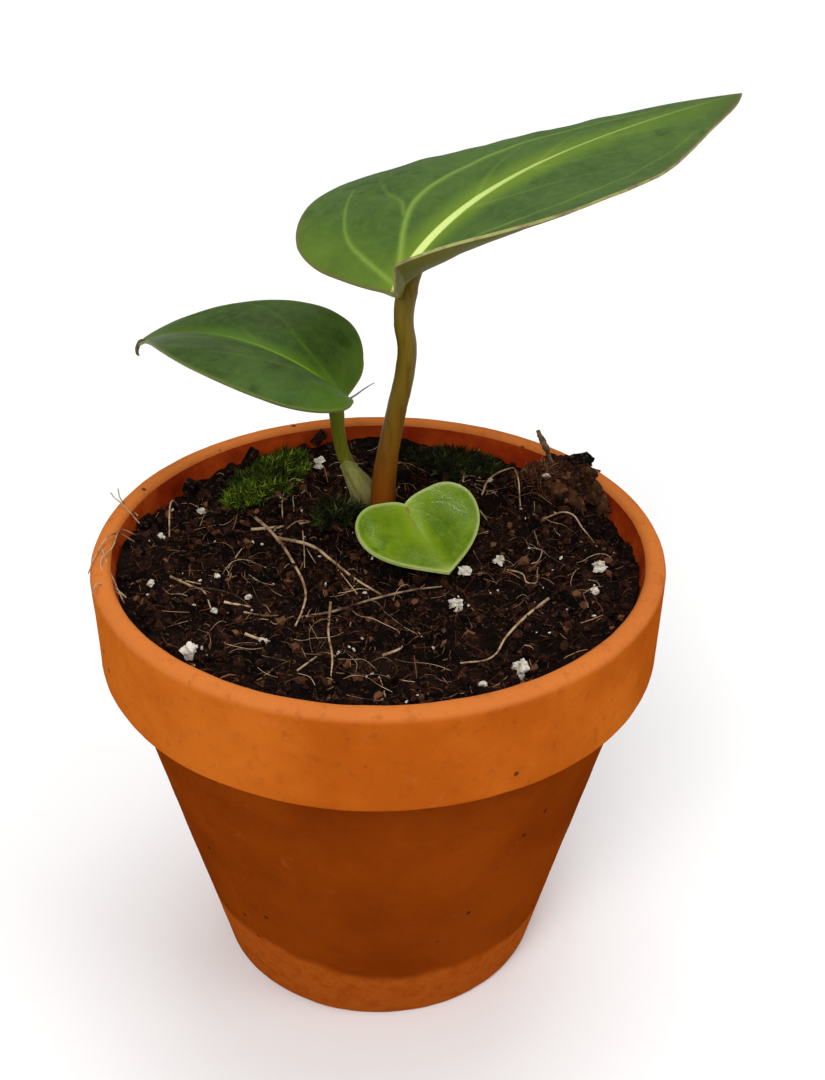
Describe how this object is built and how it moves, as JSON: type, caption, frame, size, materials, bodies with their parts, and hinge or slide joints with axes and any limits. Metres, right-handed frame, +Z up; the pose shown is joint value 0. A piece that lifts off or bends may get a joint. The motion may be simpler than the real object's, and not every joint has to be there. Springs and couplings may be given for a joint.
{
  "type": "potted anthurium",
  "caption": "Young anthurium with heart-shaped leaves on upright stalks, rooted in peaty soil in a tapered terracotta pot with a collar and a drain hole.",
  "frame": {"origin": "middle of the bottom of the whole object's box, level with the pot's underside", "axes": "+Z up along the pot's axis, -Y towards the side where the smallest leaf points, +X towards the large leaf's tip"},
  "size_m": [0.1174, 0.1152, 0.1465],
  "materials": {
    "terracotta": "matte",
    "peat": "matte",
    "velvet_leaf": "matte",
    "satin_leaf": "satin",
    "young_leaf": "gloss",
    "bronze_stalk": "satin",
    "green_stalk": "satin",
    "papery_sheath": "matte",
    "moss": "matte",
    "root": "matte",
    "bark": "matte",
    "perlite": "matte"
  },
  "bodies": {
    "root": {"terracotta_pot": "terracotta", "soil": "peat", "large_leaf_blade": "velvet_leaf", "large_leaf_stalk": "bronze_stalk", "middle_leaf_blade": "satin_leaf", "middle_leaf_stalk": "green_stalk", "middle_leaf_sheath": "papery_sheath", "small_leaf_blade": "young_leaf", "small_leaf_stalk": "green_stalk", "moss_back_left": "moss", "moss_back_right": "moss", "moss_tuft": "moss", "surface_root_1": "root", "surface_root_2": "root", "surface_root_3": "root", "surface_root_4": "root", "surface_root_5": "root", "surface_root_6": "root", "surface_root_7": "root", "dead_twig": "bark", "perlite_grain_1": "perlite", "perlite_grain_2": "perlite", "perlite_grain_3": "perlite", "perlite_grain_4": "perlite", "perlite_grain_5": "perlite", "perlite_grain_6": "perlite", "perlite_grain_7": "perlite", "perlite_grain_8": "perlite", "perlite_grain_9": "perlite"}
  },
  "joints": []
}
